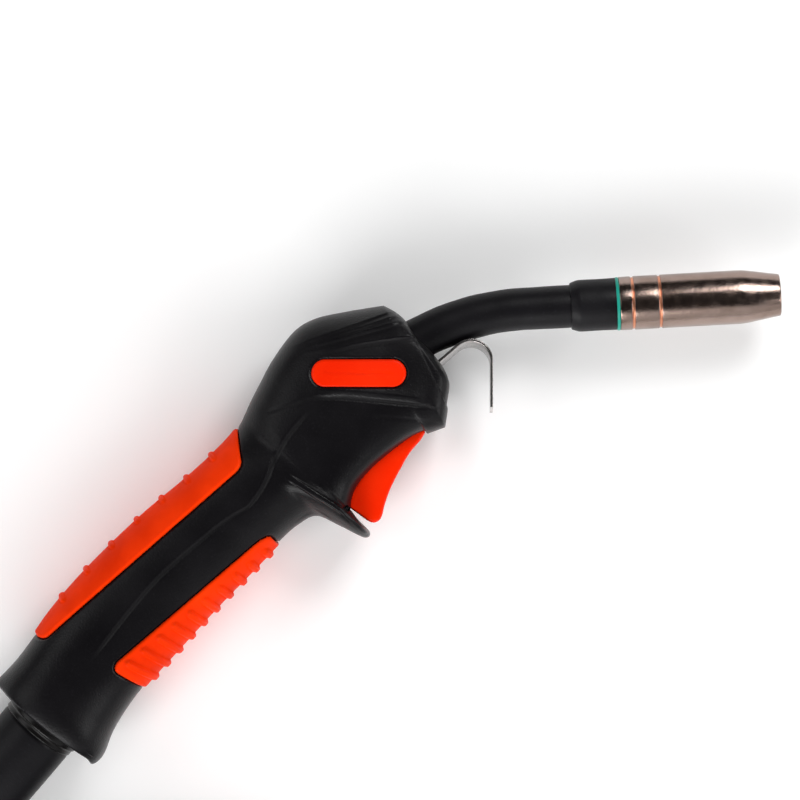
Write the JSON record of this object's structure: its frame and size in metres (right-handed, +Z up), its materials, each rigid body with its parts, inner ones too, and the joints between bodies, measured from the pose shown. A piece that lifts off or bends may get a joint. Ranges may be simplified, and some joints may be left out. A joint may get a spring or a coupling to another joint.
{
  "type": "swan-neck welding torch",
  "caption": "Gas-metal-arc welding torch lying on its side: two-shell handle with orange grips, hinged trigger, swan neck, conical gas nozzle, ball-jointed cable and central plug.",
  "frame": {"origin": "centre of the torch's own box (without the cable and plug) at the surface it lies on", "axes": "+X from the handle towards the gas nozzle, +Y from the trigger side towards the back of the head, +Z up, across the handle from the right shell to the left shell"},
  "size_m": [0.3504, 0.4359, 0.042],
  "materials": {
    "handle_black": "glass-filled nylon, fine grain, satin",
    "grip_orange": "soft overmoulded rubber, satin",
    "trigger_orange": "moulded plastic, semi-gloss",
    "badge_orange": "printed plate, blank, semi-gloss",
    "rubber_black": "smooth black rubber, satin",
    "ball_black": "polished black plastic",
    "insulator_teal": "moulded insulator",
    "nozzle_nickel": "nickel plated, slightly brown, fine speckle",
    "steel_bright": "bright nickel-plated steel",
    "brass": "machined brass",
    "copper": "machined copper alloy",
    "connector_black": "moulded plastic, satin"
  },
  "bodies": {
    "handle": {"back_grip": "grip_orange", "badge_left": "badge_orange", "badge_right": "badge_orange", "ball_socket": "ball_black", "cable_core": "rubber_black", "contact_tip": "copper", "crimp_sleeve": "copper", "finger_grip": "grip_orange", "handle_shell_left": "handle_black", "handle_shell_right": "handle_black", "hanger_hook": "steel_bright", "neck_collar": "rubber_black", "neck_sleeve": "rubber_black", "neck_tube": "brass", "nozzle_insulator": "insulator_teal", "nozzle_spring": "steel_bright", "power_coupling": "brass", "shell_screws": "steel_bright", "switch_body": "connector_black", "switch_terminals": "brass", "switch_wires": "rubber_black", "tip_holder": "brass", "trigger_pin": "steel_bright", "trigger_spring": "steel_bright", "wire_liner": "steel_bright"},
    "nozzle": {"gas_nozzle": "nozzle_nickel"},
    "trigger_lever": {"trigger": "trigger_orange"},
    "plunger": {"switch_plunger": "connector_black"},
    "cable_set": {"cable_ball": "ball_black", "cable_boot": "rubber_black", "cable": "rubber_black", "cable_coil": "rubber_black", "cable_tail": "rubber_black", "plug_boot": "rubber_black", "plug_housing": "connector_black", "plug_core": "brass", "plug_pin": "brass", "liner_nut": "brass", "gas_nipple": "brass", "nipple_o_ring": "rubber_black"},
    "coupling_nut": {"plug_nut": "connector_black"},
    "contact_1": {"control_pin_1": "brass"},
    "contact_2": {"control_pin_2": "brass"}
  },
  "joints": [
    {"name": "trigger_press", "type": "hinge", "parent": "handle", "child": "trigger_lever", "pos_m": [0.00593, 0.033, 0.02], "axis": [0, 0, -1], "range_deg": [0, 5], "stiffness_Nm_per_rad": 1.5, "springref_deg": -2.86},
    {"name": "switch_press", "type": "slide", "parent": "handle", "child": "plunger", "axis": [-0.7302, 0.6833, 0], "range_m": [0, 0.0008]},
    {"name": "nozzle_pull", "type": "slide", "parent": "handle", "child": "nozzle", "axis": [0.9985, 0.055, 0], "range_m": [0, 0.06]},
    {"name": "cable_swing", "type": "hinge", "parent": "handle", "child": "cable_set", "pos_m": [-0.10537, -0.05644, 0.02], "axis": [0, 0, 1], "range_deg": [-12, 12]},
    {"name": "nut_spin", "type": "hinge", "parent": "cable_set", "child": "coupling_nut", "pos_m": [0.08997, -0.33009, 0.021], "axis": [1, 0, 0], "continuous": true},
    {"name": "contact_press_1", "type": "slide", "parent": "cable_set", "child": "contact_1", "axis": [-1, 0, 0], "range_m": [0, 0.004], "stiffness_N_per_m": 400},
    {"name": "contact_press_2", "type": "slide", "parent": "cable_set", "child": "contact_2", "axis": [-1, 0, 0], "range_m": [0, 0.004], "stiffness_N_per_m": 400}
  ],
  "couplings": [
    {"joint": "switch_press", "follows": "trigger_press", "m_per_rad": 0.009}
  ]
}
